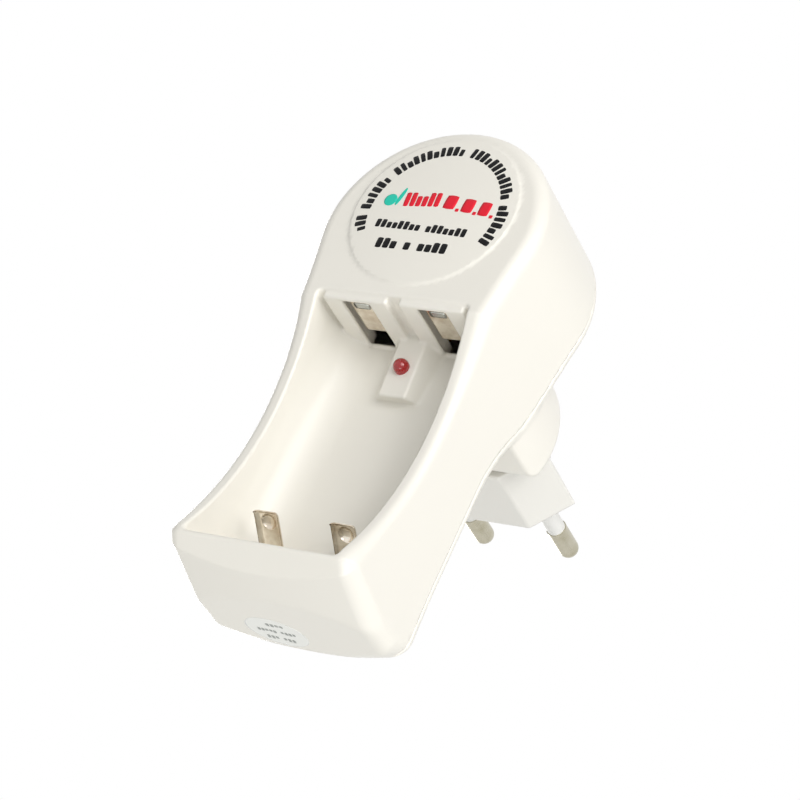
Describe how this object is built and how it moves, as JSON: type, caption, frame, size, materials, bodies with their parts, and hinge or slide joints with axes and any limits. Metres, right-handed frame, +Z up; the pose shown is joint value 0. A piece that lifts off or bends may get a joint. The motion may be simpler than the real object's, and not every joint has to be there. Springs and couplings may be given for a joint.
{
  "type": "plug-in battery charger",
  "caption": "Plug-in charger with a round head, an open bay for two AA or AAA cells with sprung folding contacts, an indicator lamp and a flat two-pin mains plug.",
  "frame": {"origin": "centre of the plug block's face, midway between the two plug pins, in the plane that rests on the wall socket", "axes": "+X to the right seen from the front, from the left pin to the right pin; +Y into the wall socket, along the pins, so the front faces -Y; +Z up, from the battery bay to the round head"},
  "size_m": [0.045, 0.0787, 0.0991],
  "materials": {
    "housing_plastic": "warm white ABS, satin to glossy",
    "plug_plastic": "warm white moulded plastic, satin",
    "pin_metal": "nickel-plated brass, drawn",
    "sleeve_plastic": "white insulating sleeve",
    "contact_metal": "nickel-plated spring sheet",
    "hinge_steel": "plain steel pin and spring wire",
    "lamp_red": "red diffused lamp body",
    "board_laminate": "brown paper laminate",
    "core_steel": "stacked electrical steel sheets",
    "bobbin_plastic": "natural nylon",
    "winding_copper": "enamelled copper wire under tape",
    "diode_black": "moulded body",
    "resistor_body": "lacquered body",
    "wire_brown": "brown insulation",
    "wire_blue": "blue insulation",
    "wire_yellow": "yellow insulation",
    "wire_red": "red insulation",
    "wire_black": "black insulation",
    "screw_steel": "zinc-plated steel"
  },
  "bodies": {
    "housing": {"front_shell": "housing_plastic", "rear_shell": "housing_plastic", "plug_block": "plug_plastic", "left_plug_pin": "pin_metal", "right_plug_pin": "pin_metal", "left_pin_sleeve": "sleeve_plastic", "right_pin_sleeve": "sleeve_plastic", "left_positive_contact": "contact_metal", "right_positive_contact": "contact_metal", "left_flap_pin": "hinge_steel", "right_flap_pin": "hinge_steel", "left_flap_spring": "hinge_steel", "right_flap_spring": "hinge_steel", "indicator_lamp": "lamp_red", "circuit_board": "board_laminate", "transformer_core": "core_steel", "transformer_bobbin": "bobbin_plastic", "primary_winding": "winding_copper", "secondary_winding": "winding_copper", "left_diode": "diode_black", "right_diode": "diode_black", "left_resistor": "resistor_body", "right_resistor": "resistor_body", "lamp_resistor": "resistor_body", "live_wire": "wire_brown", "neutral_wire": "wire_blue", "left_secondary_wire": "wire_yellow", "right_secondary_wire": "wire_yellow", "left_positive_wire": "wire_red", "right_positive_wire": "wire_red", "left_negative_wire": "wire_black", "right_negative_wire": "wire_black", "housing_screws": "screw_steel"},
    "left_flap": {"left_flap": "contact_metal"},
    "right_flap": {"right_flap": "contact_metal"}
  },
  "joints": [
    {"name": "left_flap_hinge", "type": "hinge", "parent": "housing", "child": "left_flap", "pos_m": [-0.008, -0.0396, -0.0467], "axis": [1, 0, 0], "range_deg": [0, 42], "stiffness_Nm_per_rad": 0.03, "springref_deg": -17.19, "deforming": ["left_flap_spring"]},
    {"name": "right_flap_hinge", "type": "hinge", "parent": "housing", "child": "right_flap", "pos_m": [0.008, -0.0396, -0.0467], "axis": [1, 0, 0], "range_deg": [0, 42], "stiffness_Nm_per_rad": 0.03, "springref_deg": -17.19, "deforming": ["right_flap_spring"]}
  ]
}
